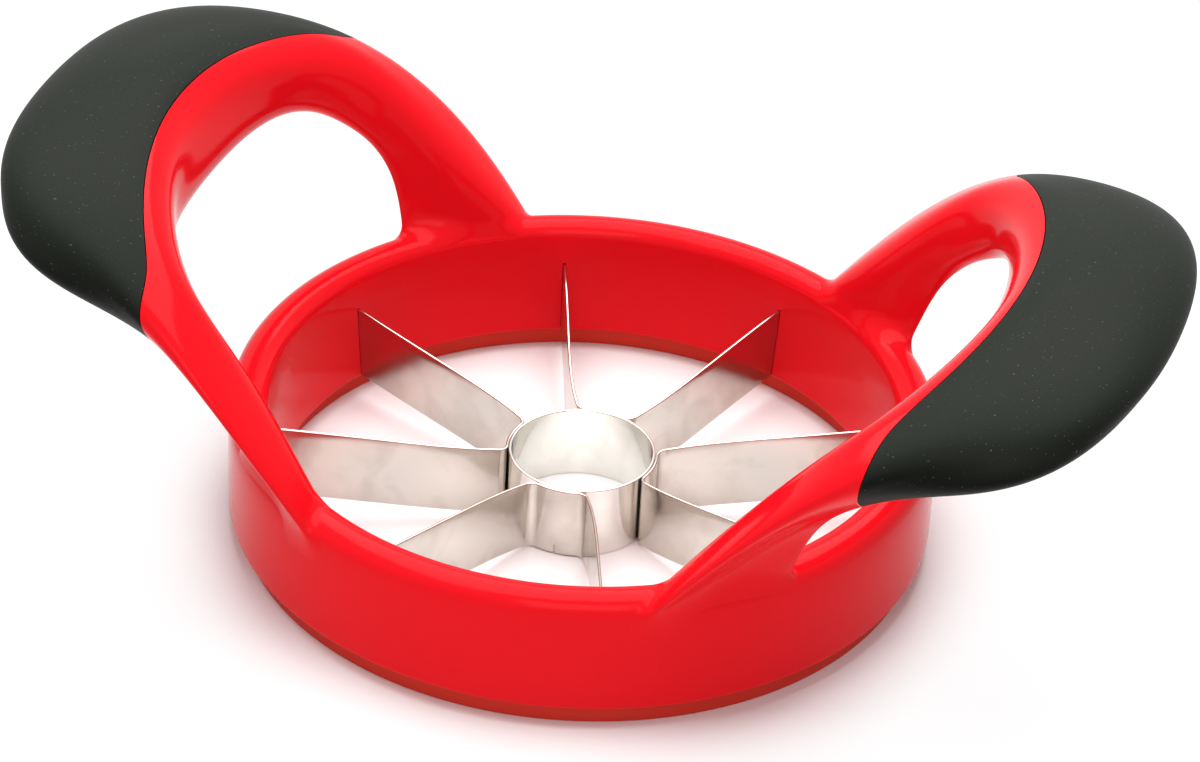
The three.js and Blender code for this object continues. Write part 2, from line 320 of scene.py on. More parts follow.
@dataclass(frozen=True)
class AcrylicSheet(Finish):
    """Cast acrylic sheet: white, with a soft sheen that blurs what stands on it."""

    name: str = "white_acrylic_sheet"
    colour: str = "F4F3F3"
    roughness: float = 0.3
    ior: float = 1.49


# Surfaces


@dataclass
class Skin:
    """Grids of points that together make one piece, in millimetres."""

    points: list[np.ndarray] = field(default_factory=list)
    faces: list[np.ndarray] = field(default_factory=list)
    count: int = 0

    def add_grid(self, grid: np.ndarray, close_rows: bool = False, close_columns: bool = False) -> "Skin":
        """Add a grid of points as quads.

        Args:
            grid: points by row and column, (n, m, 3).
            close_rows: the last row joins the first.
            close_columns: the last column joins the first.

        Returns:
            The skin itself.
        """
        rows, columns = grid.shape[:2]
        index = self.count + np.arange(rows * columns).reshape(rows, columns)
        if close_rows:
            index = np.concatenate([index, index[:1]], axis=0)
        if close_columns:
            index = np.concatenate([index, index[:, :1]], axis=1)
        quads = np.stack([index[:-1, :-1], index[1:, :-1], index[1:, 1:], index[:-1, 1:]], axis=-1)
        self.faces.append(quads.reshape(-1, 4))
        self.points.append(grid.reshape(-1, 3))
        self.count += rows * columns
        return self

    def piece(self, name: str, material: bpy.types.Material, slot: Slot, nodes: list[str],
              sharp_degrees: float = 40.0) -> bpy.types.Object:
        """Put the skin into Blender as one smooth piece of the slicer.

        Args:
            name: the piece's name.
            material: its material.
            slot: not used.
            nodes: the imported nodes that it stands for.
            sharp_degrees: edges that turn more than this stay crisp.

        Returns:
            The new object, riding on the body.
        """
        points = np.concatenate(self.points) * METRES
        quads = np.concatenate(self.faces)
        mesh = bpy.data.meshes.new(name)
        mesh.from_pydata(points.tolist(), [], quads.tolist())
        weld(mesh)
        mesh.materials.append(material)
        mesh.shade_smooth()
        mesh.set_sharp_from_angle(angle=math.radians(sharp_degrees))
        piece = bpy.data.objects.new(name, mesh)
        bpy.context.scene.collection.objects.link(piece)
        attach(piece, BODY)
        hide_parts(*nodes)
        log.info("%s: %d faces, for %s", name, len(mesh.polygons), ", ".join(nodes))
        return piece


def weld(mesh: bpy.types.Mesh, distance_mm: float = 0.0005) -> None:
    """Merge points that lie together, let faces with no area go and point the faces outwards.

    Args:
        mesh: the mesh to clean.
        distance_mm: how close two points may lie before they become one.
    """
    work = bmesh.new()
    work.from_mesh(mesh)
    bmesh.ops.remove_doubles(work, verts=work.verts, dist=distance_mm * METRES)
    bmesh.ops.dissolve_degenerate(work, edges=work.edges, dist=distance_mm * METRES)
    bmesh.ops.recalc_face_normals(work, faces=work.faces)
    work.to_mesh(mesh)
    work.free()


def rounded_outline(corners: list[tuple[float, float, float]], steps: int = 8) -> np.ndarray:
    """Round the corners of a closed outline.

    At each corner the two sides' unit directions a and b give the arc that touches both:
    its ends lie r * tan(turn / 2) from the corner, and its points are spaced evenly in turn.

    Args:
        corners: x, y and radius of each corner, in order.
        steps: points on each arc, less one.

    Returns:
        The outline's points, (n, 2).
    """
    spot = np.array([(x, y) for x, y, _ in corners])
    radius = np.array([r for _, _, r in corners])
    before = spot - np.roll(spot, 1, axis=0)
    after = np.roll(spot, -1, axis=0) - spot
    before /= np.linalg.norm(before, axis=1, keepdims=True)
    after /= np.linalg.norm(after, axis=1, keepdims=True)
    cross = before[:, 0] * after[:, 1] - before[:, 1] * after[:, 0]
    turn = np.arctan2(cross, (before * after).sum(axis=1))
    reach = radius * np.tan(np.abs(turn) / 2)
    side = np.stack([-before[:, 1], before[:, 0]], axis=1) * np.sign(turn)[:, None]
    centre = spot - before * reach[:, None] + side * radius[:, None]
    share = np.linspace(0, 1, steps + 1)
    angle = np.arctan2(-side[:, 1], -side[:, 0])[:, None] + turn[:, None] * share
    arc = centre[:, None] + radius[:, None, None] * np.stack([np.cos(angle), np.sin(angle)], axis=-1)
    return arc.reshape(-1, 2)


def plan_arc(centre: np.ndarray, radius: float, angles: tuple[float, float], count: int) -> np.ndarray:
    """Points on an arc in plan, evenly spaced: centre + radius * (cos a, sin a).

    Args:
        centre: the arc's middle, (2,).
        radius: its radius.
        angles: where it starts and stops, in radians.
        count: how many points.

    Returns:
        The points, (count, 2).
    """
    angle = np.linspace(*angles, count)
    return centre + radius * np.stack([np.cos(angle), np.sin(angle)], axis=1)


def fill_steps(outline: np.ndarray, longest: float) -> np.ndarray:
    """Add points to a closed outline until no side is longer than a limit.

    Args:
        outline: points, (n, 2).
        longest: the limit.

    Returns:
        The finer outline.
    """
    sides = np.linalg.norm(np.roll(outline, -1, axis=0) - outline, axis=1)
    pieces = np.maximum(1, np.ceil(sides / longest)).astype(int)
    start = np.repeat(np.arange(len(outline)), pieces)
    first = np.repeat(np.cumsum(pieces) - pieces, pieces)
    share = (np.arange(len(start)) - first) / np.repeat(pieces, pieces)
    return outline[start] * (1 - share[:, None]) + np.roll(outline, -1, axis=0)[start] * share[:, None]


def revolve(outline: np.ndarray, turns: np.ndarray) -> np.ndarray:
    """Carry an outline of radius and height round the Z axis.

    A point (r, z) at turn a lies at (r cos a, r sin a, z).

    Args:
        outline: radius and height, (n, 2), or (n, m, 2) where it changes with the turn.
        turns: the angles, (m,).

    Returns:
        The grid of points, (n, m, 3).
    """
    profile = outline[:, None] if outline.ndim == 2 else outline
    radius = np.broadcast_to(profile[..., 0], (len(outline), len(turns)))
    height = np.broadcast_to(profile[..., 1], (len(outline), len(turns)))
    return np.stack([radius * np.cos(turns), radius * np.sin(turns), height], axis=-1)


# The ring


@dataclass
class Ring:
    """The moulding's ring: a wall with a full round rim, hollow underneath, slotted for blades."""

    outer_radius: float = 58.6
    wall: float = 8.1
    height: float = 20.5
    lift: float = 4.0
    flare: float = 1.7
    inner_round: float = 3.0
    outer_round: float = 3.4
    foot_round: float = 0.5
    mouth_round: float = 0.2
    roof_round: float = 0.6
    inner_wall: float = 2.5
    outer_wall: float = 2.4
    roof: float = 17.5
    blades: int = 8
    slot_half: float = 0.29
    slot_depth: float = 2.2
    slot_lip: float = 0.06
    slot_top_step: float = 0.03
    slot_side_step: float = 0.02
    slot_clear_share: float = 1.6
    corner_steps: int = 6
    table_corner_steps: int = 24
    longest_side: float = 3.0
    columns: int = 320

    @property
    def inner_radius(self) -> float:
        """Radius of the inner wall at its foot."""
        return self.outer_radius - self.wall

    @property
    def rim_top(self) -> float:
        """Height of the rim above the table."""
        return self.lift + self.height

    @property
    def rim_inner_radius(self) -> float:
        """Radius at which the inner wall would reach the rim."""
        return self.inner_radius + self.flare

    def outline(self) -> np.ndarray:
        """The ring's section, rounded at its corners.

        Returns:
            Radius and height, (n, 2).
        """
        channel_in = self.inner_radius + self.inner_wall
        channel_out = self.outer_radius - self.outer_wall
        corners = [
            (channel_in, self.lift, self.mouth_round), (channel_in, self.roof, self.roof_round),
            (channel_out, self.roof, self.roof_round), (channel_out, self.lift, self.mouth_round),
            (self.outer_radius, self.lift, self.foot_round),
            (self.outer_radius, self.rim_top, self.outer_round),
            (self.rim_inner_radius, self.rim_top, self.inner_round),
            (self.inner_radius, self.lift, self.foot_round),
        ]
        return fill_steps(rounded_outline(corners, self.corner_steps), self.longest_side)

    def outside(self, spacing: float = 0.05) -> tuple[np.ndarray, np.ndarray, np.ndarray]:
        """The section's outside, from the outer foot over the rim to the inner foot.

        Args:
            spacing: between points.

        Returns:
            Length along the section, radius and height (n, 2), and outward direction (n, 2).
        """
        corners = rounded_outline([
            (self.outer_radius, self.lift, self.foot_round),
            (self.outer_radius, self.rim_top, self.outer_round),
            (self.rim_inner_radius, self.rim_top, self.inner_round),
            (self.inner_radius, self.lift, self.foot_round),
        ], self.table_corner_steps)
        reach = np.concatenate([[0], np.cumsum(np.linalg.norm(np.diff(corners, axis=0), axis=1))])
        length = np.arange(0, reach[-1], spacing)
        spots = np.stack([np.interp(length, reach, corners[:, i]) for i in (0, 1)], axis=1)
        run = np.gradient(spots, axis=0)
        run /= np.linalg.norm(run, axis=1, keepdims=True)
        return length, spots, np.stack([run[:, 1], -run[:, 0]], axis=1)

    def slotted_grid(self, blade_top: float, blade_turns: np.ndarray) -> np.ndarray:
        """The ring's surface, with a groove in the inner wall round each blade's end.

        Columns crowd at the grooves' sides. Between those sides a point of the inner wall
        that lies below the groove's top moves out to the groove's floor.

        Args:
            blade_top: height of the blades at the wall.
            blade_turns: where the blades stand, in radians.

        Returns:
            The grid of points.
        """
        outline = self.outline()
        top = blade_top + self.slot_lip
        inner = outline[:, 0] < self.inner_radius + self.inner_wall / 2
        wall = np.flatnonzero(inner & (outline[:, 1] < self.rim_top - self.inner_round))
        above = wall[outline[wall, 1] > top][-1]
        edge_radius = np.interp(top, outline[wall][::-1, 1], outline[wall][::-1, 0])
        lips = np.array([(edge_radius, top + self.slot_top_step), (edge_radius, top - self.slot_top_step)])
        outline = np.insert(outline, above + 1, lips, axis=0)
        inner = np.insert(inner, above + 1, [True, True])
        half = self.slot_half / self.inner_radius
        sharp = self.slot_side_step / self.inner_radius
        offsets = np.array([-half - sharp, -half, -half / 2, half / 2, half, half + sharp])
        plain = np.linspace(0, FULL, self.columns, endpoint=False)
        away = np.abs((plain[:, None] - blade_turns + math.pi) % FULL - math.pi).min(axis=1)
        grooves = (blade_turns[:, None] + offsets).ravel() % FULL
        turns = np.sort(np.concatenate([plain[away > self.slot_clear_share * half], grooves]))
        nearest = np.abs((turns[:, None] - blade_turns + math.pi) % FULL - math.pi).min(axis=1)
        within = nearest < half + sharp / 2
        grooved = (inner & (outline[:, 1] < top))[:, None] & within
        radius = np.where(grooved, self.inner_radius + self.slot_depth, outline[:, :1])
        height = np.broadcast_to(outline[:, 1:], radius.shape)
        return revolve(np.stack([radius, height], axis=-1), turns)


# The handles


@dataclass
class Handle:
    """One arched handle on the +X side: a rounded-square section over four quartic curves.

    The four curves are the section's corners: inner top, inner bottom, outer top and outer
    bottom, inner being the finger hole's side. Each runs from the palm rest's middle (share 0)
    to a foot in the rim (share 1); the other half mirrors it in Y. The guide shares are each
    curve's first four control points as shares of reach, half width and rise above the ring's
    bottom. The fifth is its foot, whose turn about the ring's axis is a share of a quarter turn.
    """

    ring: Ring
    reach: float = 98.0
    half_width: float = 52.0
    rise: float = 62.0
    foot_depth: float = 4.0
    ridge_foot_depth: float = 7.9
    foot_inner_margin: float = 0.2
    foot_outer_margin: float = 1.0
    roundness_share: float = 0.74
    band_width: float = 6.1
    seam_radius: float = 81.3
    seam_end_round: float = 2.0
    seam_lean_height: float = 52.0
    seam_lean: float = 0.18
    seam_end_between: tuple[float, float] = (0.1, 0.95)
    halvings: int = 40
    loop_samples: int = 801
    section_samples: int = 4001
    guide_shares: tuple[tuple[tuple[float, float, float], ...], ...] = (
        ((0.716, 0, 1.044), (0.716, 0.158, 1.044), (0.521, 1.21, 0.842), (0.567, 0.485, 0.9)),
        ((0.649, 0, 0.693), (0.649, 1.181, 0.693), (0.485, 0.129, 0.519), (0.528, 1.029, 0.672)),
        ((1.009, 0, 0.972), (1.009, 0.896, 0.972), (0.719, 0.504, 0.97), (0.556, 1.283, 0.938)),
        ((0.923, 0, 0.774), (0.923, 1.073, 0.774), (0.838, 1.041, 0.86), (0.547, 0.596, 0.75)),
    )
    foot_turn_shares: tuple[float, ...] = (0.695, 0.347, 0.73, 0.631)

    def __post_init__(self) -> None:
        """Work out the curves' control points and the even spacing round a section."""
        scale = np.array([self.reach, self.half_width, self.rise])
        points = np.array(self.guide_shares) * scale + (0, 0, self.ring.lift)
        turn = np.array(self.foot_turn_shares) * QUARTER
        inner = self.ring.rim_inner_radius + self.foot_inner_margin
        outer = self.ring.outer_radius - self.foot_outer_margin
        radius = np.array([inner, outer, outer, outer])
        depth = np.array([self.foot_depth, self.foot_depth, self.ridge_foot_depth, self.foot_depth])
        level = self.ring.rim_top - depth
        feet = np.stack([radius * np.cos(turn), radius * np.sin(turn), level], axis=1)
        self.control = np.concatenate([points, feet[:, None]], axis=1)
        angle = np.linspace(0, FULL, self.section_samples)
        across, up = self.rounded(np.cos(angle)), self.rounded(np.sin(angle))
        length = np.concatenate([[0], np.cumsum(np.hypot(np.diff(across), np.diff(up)))])
        self.section_share = length / length[-1]
        self.section_across, self.section_up = across, up
        self.seam_middle = points[1, 0, 0] + self.band_width - self.seam_radius

    def rounded(self, value: np.ndarray) -> np.ndarray:
        """A circle's coordinate drawn out towards the square: sign(v) |v| ** roundness."""
        return np.sign(value) * np.abs(value) ** self.roundness_share

    def corners(self, share: np.ndarray) -> np.ndarray:
        """The four corners of the section at places along the handle.

        B(t) is the sum over i of C(4, i) (1-t)^(4-i) t^i Pi, with t = |share| and y taking the
        share's sign.

        Args:
            share: -1 at one foot, 0 in the middle, 1 at the other foot; any shape.

        Returns:
            Corners, with the shape of share and then (4, 3).
        """
        t = np.abs(share)[..., None]
        order = np.arange(5)
        weight = np.array([1, 4, 6, 4, 1]) * (1 - t) ** (4 - order) * t ** order
        spot = np.einsum("...i,cik->...ck", weight, self.control)
        side = np.stack([np.ones_like(share), np.where(share < 0, -1.0, 1.0), np.ones_like(share)], axis=-1)
        return spot * side[..., None, :]

    def surface(self, share: np.ndarray, around: np.ndarray) -> np.ndarray:
        """Points of the handle's skin.

        The place round the section gives (u, v) on |u|^2.7 + |v|^2.7 = 1, at even spacing, and the
        point is the blend ((1-u)(1-v) IB + (1-u)(1+v) IT + (1+u)(1-v) OB + (1+u)(1+v) OT) / 4.

        Args:
            share: places along the handle.
            around: places round the section: 0 on the outer edge, 0.25 on top, 0.5 at the
                finger hole and 0.75 underneath; same shape as share.

        Returns:
            Points, with the shape of share and then (3,).
        """
        place = np.mod(around, 1.0)
        u = np.interp(place, self.section_share, self.section_across)[..., None]
        v = np.interp(place, self.section_share, self.section_up)[..., None]
        corner = self.corners(share)
        inner_top, inner_bottom, outer_top, outer_bottom = (corner[..., i, :] for i in range(4))
        inner = (1 - v) * inner_bottom + (1 + v) * inner_top
        outer = (1 - v) * outer_bottom + (1 + v) * outer_top
        return ((1 - u) * inner + (1 + u) * outer) / 4

    def seam_line(self, across: np.ndarray) -> np.ndarray:
        """The seam's plan: X for each Y.

        It follows the arc a = middle + sqrt(R^2 - y^2) and, from where that would cut behind
        the ring's outer wall, the straight line b there: (a + b + sqrt((a - b)^2 + c^2)) / 2.

        Args:
            across: places in Y, of any shape.

        Returns:
            X, with the same shape.
        """
        arc = self.seam_middle + np.sqrt(np.maximum(self.seam_radius ** 2 - across ** 2, 0))
        wall = self.ring.outer_radius
        return (arc + wall + np.sqrt((arc - wall) ** 2 + self.seam_end_round ** 2)) / 2

    def beyond_seam(self, points: np.ndarray) -> np.ndarray:
        """How far points lie outside the seam's leaning wall along X, in millimetres."""
        rise = points[..., 2] - self.ring.lift - self.seam_lean_height
        return points[..., 0] - self.seam_line(points[..., 1]) - self.seam_lean * rise

    def seam_places(self, share: np.ndarray, offset: float) -> tuple[np.ndarray, np.ndarray]:
        """Where the section's loop crosses the seam, on top and underneath.

        Args:
            share: places along the handle, (n,).
            offset: crossing of a wall this much further out than the seam.

        Returns:
            Places round the section of the top and of the bottom crossing, (n,) each. Where
            the loop doesn't reach the seam, both are the place that comes nearest to it.
        """
        around = np.linspace(-0.5, 0.5, self.loop_samples)
        end = self.loop_samples - 1
        grid = self.surface(*np.broadcast_arrays(share[:, None], around))
        beyond = self.beyond_seam(grid) - offset
        peak = beyond.argmax(axis=1)
        reached = beyond.max(axis=1) > 0
        outside = beyond > 0
        rows = np.arange(len(share))
        last = end - outside[:, ::-1].argmax(axis=1)
        first = outside.argmax(axis=1)
        upper = np.minimum(last + 1, end)
        lower = np.maximum(first - 1, 0)
        high = beyond[rows, last] / np.maximum(beyond[rows, last] - beyond[rows, upper], TINY)
        low = beyond[rows, first] / np.maximum(beyond[rows, first] - beyond[rows, lower], TINY)
        step = around[1] - around[0]
        top = np.where(reached, around[last] + step * np.clip(high, 0, 1), around[peak])
        bottom = np.where(reached, around[first] - step * np.clip(low, 0, 1), around[peak])
        return top, bottom

    def seam_end(self, offset: float) -> float:
        """The share along the handle at which the seam's tip lies, found by halving.

        Args:
            offset: tip of a wall this much further out than the seam.

        Returns:
            The share: 0 in the handle's middle, 1 at its foot.
        """
        low, high = self.seam_end_between
        around = np.linspace(0, 1, self.loop_samples)
        for _ in range(self.halvings):
            middle = (low + high) / 2
            best = self.beyond_seam(self.surface(np.full_like(around, middle), around)).max() - offset
            low, high = (middle, high) if best > 0 else (low, middle)
        return (low + high) / 2


@dataclass
class Foot:
    """The end of a leg: it runs into the ring, and a hollow fillet joins the two surfaces.

    The fillet's reach changes round the leg: r(a) = mean + b1 cos a + b2 sin a + b3 cos 2a +
    b4 sin 2a, with a = 0 on the leg's outer edge and a quarter turn on its top. It is widest
    towards the outer edge, where the leg runs on into the ring's wall, and tightest on the top.
    The fullness is how far the cubic's two middle points lie from its ends, as a share of the
    reach. Its lower end is tucked just under the ring's surface, and a cap closes it deeper.
    """

    handle: Handle
    mean_reach: float = 4.03
    reach_waves: tuple[float, ...] = (1.68, -1.49, 1.18, -1.13)
    fullness: float = 0.6
    rows: int = 13
    leg_rows: int = 45
    tuck: float = 0.03
    depth: float = 1.2
    samples: int = 400
    coarse: int = 4
    share_step: float = 0.001
    plan_step: float = 0.05

    def meeting(self, around: np.ndarray, start: float) -> tuple[np.ndarray, np.ndarray, np.ndarray]:
        """Where lines down the leg meet the ring.

        Args:
            around: the lines' places round the section, (n,).
            start: share along the handle at which the leg starts.

        Returns:
            The share along the handle, and the length along the ring's section and the turn
            about its axis there, (n,) each.
        """
        length, spots, outward = self.handle.ring.outside()
        share = np.linspace(start, 1.0, self.samples)
        grid = self.handle.surface(*np.broadcast_arrays(share[:, None], around[None]))
        flat = np.stack([np.hypot(grid[..., 0], grid[..., 1]), grid[..., 2]], axis=-1)
        thinned = spots[::self.coarse]
        near = ((flat[..., None, :] - thinned) ** 2).sum(axis=-1).argmin(axis=-1) * self.coarse
        clear = ((flat - spots[near]) * outward[near]).sum(axis=-1)
        columns = np.arange(len(around))
        last = (clear < 0).argmax(axis=0)
        before, after = clear[last - 1, columns], clear[last, columns]
        part = (before / (before - after))[:, None]
        spot = grid[last - 1, columns] * (1 - part) + grid[last, columns] * part
        flat = np.stack([np.hypot(spot[:, 0], spot[:, 1]), spot[:, 2]], axis=-1)
        near = ((flat[:, None] - spots) ** 2).sum(axis=-1).argmin(axis=-1)
        return (share[last - 1] + part[:, 0] * (share[1] - share[0]), length[near],
                np.arctan2(spot[:, 1], spot[:, 0]))

    def on_ring(self, length: np.ndarray, turn: np.ndarray, sunk: float = 0.0) -> np.ndarray:
        """Points of the ring's surface, or under it.

        Args:
            length: along the ring's section, (n,).
            turn: about the ring's axis, in radians, (n,).
            sunk: how far under the surface.

        Returns:
            The points, (n, 3).
        """
        table, spots, outward = self.handle.ring.outside()
        inside = spots - outward * sunk
        radius, height = (np.interp(length, table, inside[:, i]) for i in (0, 1))
        return np.stack([radius * np.cos(turn), radius * np.sin(turn), height], axis=-1)

    def grids(self, around: np.ndarray, start: float) -> list[np.ndarray]:
        """The leg on the +Y side and its fillet.

        Spread out flat, the ring's surface has the turn times its radius for one axis and the
        section's length for the other. The fillet ends where the line of meeting, drawn on
        that, is moved outwards by the reach. From the leg to there each column is a cubic
        curve, (1-t)^3 A + 3 (1-t)^2 t B + 3 (1-t) t^2 C + t^3 D, with B down the leg from its
        start A and C up the ring from its end D, so it leaves both surfaces along themselves.

        Args:
            around: places round the section, the last as the first, (n,).
            start: share along the handle at which the leg starts.

        Returns:
            Grids of the leg, and of the fillet with its end under the ring's surface.
        """
        share, length, turn = self.meeting(around, start)
        wave = FULL * around
        waves = np.stack([np.cos(wave), np.sin(wave), np.cos(2 * wave), np.sin(2 * wave)], axis=1)
        reach = self.mean_reach + waves @ np.array(self.reach_waves)
        radius = self.handle.ring.outer_radius
        loop = np.stack([turn * radius, length], axis=-1)
        ring = loop[:-1]
        run = np.roll(ring, -2, axis=0) - np.roll(ring, 2, axis=0)
        run /= np.linalg.norm(run, axis=1, keepdims=True)
        run = np.concatenate([run, run[:1]])
        out = np.stack([run[:, 1], -run[:, 0]], axis=-1)
        end = loop + out * reach[:, None]
        beyond = end + out * self.plan_step
        stop = self.on_ring(end[:, 1], end[:, 0] / radius, self.tuck)
        leave = self.on_ring(beyond[:, 1], beyond[:, 0] / radius, self.tuck) - stop
        leave /= np.linalg.norm(leave, axis=1, keepdims=True)
        ahead = self.handle.surface(share + self.share_step, around) - self.handle.surface(share, around)
        pace = np.linalg.norm(ahead, axis=1) / self.share_step
        begin = share - reach / pace
        first = self.handle.surface(begin, around)
        down = self.handle.surface(begin + self.share_step, around) - first
        down /= np.linalg.norm(down, axis=1, keepdims=True)
        pull = (self.fullness * reach)[:, None]
        t = np.linspace(0, 1, self.rows)[:, None, None]
        fillet = (1 - t) ** 3 * first + 3 * (1 - t) ** 2 * t * (first + down * pull)
        fillet = fillet + 3 * (1 - t) * t ** 2 * (stop - leave * pull) + t ** 3 * stop
        under = self.on_ring(end[:, 1], end[:, 0] / radius, self.depth)
        pole = np.broadcast_to(under[:-1].mean(axis=0), under.shape)
        rows = start + (begin - start) * np.linspace(0, 1, self.leg_rows)[:, None]
        leg = self.handle.surface(rows, np.broadcast_to(around, rows.shape))
        return [leg, np.concatenate([fillet, under[None], pole[None]])]


# The closing ring and the steel


@dataclass
class BaseRing:
    """The ring that closes the channel from below and stands on the table.

    Its upper part fills the mouth of the channel. Its foot is wider, shows under the body's
    lower edge as a wall in a darker red that paints the shade there, and stands back from that edge on both
    sides.
    """

    ring: Ring
    clearance: float = 0.3
    collar: float = 3.0
    set_back: float = 2.0
    seat_gap: float = 0.05
    edge_round: float = 0.35
    longest_side: float = 1.0
    columns: int = 256

    def grid(self) -> np.ndarray:
        """A T-shaped section with rounded corners, revolved round the axis.

        Returns:
            The grid of points.
        """
        mouth_in = self.ring.inner_radius + self.ring.inner_wall + self.clearance
        mouth_out = self.ring.outer_radius - self.ring.outer_wall - self.clearance
        foot_in = self.ring.inner_radius + self.set_back
        foot_out = self.ring.outer_radius - self.set_back
        seat = self.ring.lift - self.seat_gap
        top = self.ring.lift + self.collar
        small = self.clearance / 2
        outline = rounded_outline([
            (foot_out, 0, self.edge_round), (foot_out, seat, self.edge_round),
            (mouth_out, seat, small), (mouth_out, top, self.edge_round),
            (mouth_in, top, self.edge_round), (mouth_in, seat, small),
            (foot_in, seat, self.edge_round), (foot_in, 0, self.edge_round),
        ])
        turns = np.linspace(0, FULL, self.columns, endpoint=False)
        return revolve(fill_steps(outline, self.longest_side), turns)


@dataclass
class Corer:
    """The thin tube in the middle, with rounded rims and a weld mark inside behind each wrap."""

    outer_radius: float = 12.2
    wall: float = 0.5
    height: float = 13.0
    rim_round: float = 0.2
    welds: int = 4
    weld_height: float = 7.2
    weld_radius: float = 1.0
    weld_depth: float = 0.07
    wall_tolerance: float = 0.01
    longest_side: float = 0.25
    columns: int = 256

    def grid(self) -> np.ndarray:
        """The tube's section revolved, with the welds pressed into the inner wall.

        A weld moves a point outwards by depth * (1 - q) * exp(-q), where q is the squared
        distance from the weld's middle along the wall over the squared radius: a pit in a
        low ring of upset metal.

        Returns:
            The grid of points.
        """
        inner = self.outer_radius - self.wall
        outline = fill_steps(rounded_outline([
            (self.outer_radius, 0, self.rim_round), (self.outer_radius, self.height, self.rim_round),
            (inner, self.height, self.rim_round), (inner, 0, self.rim_round),
        ]), self.longest_side)
        turns = np.linspace(0, FULL, self.columns, endpoint=False)
        pitch = FULL / self.welds
        aside = ((turns + pitch / 2) % pitch - pitch / 2) * inner
        up = outline[:, 1:] - self.weld_height
        q = (aside ** 2 + up ** 2) / self.weld_radius ** 2
        on_inside = outline[:, :1] < inner + self.wall_tolerance
        pressed = self.weld_depth * (1 - q) * np.exp(-q) * on_inside
        radius = outline[:, :1] + pressed
        return revolve(np.stack([radius, np.broadcast_to(outline[:, 1:], radius.shape)], axis=-1), turns)


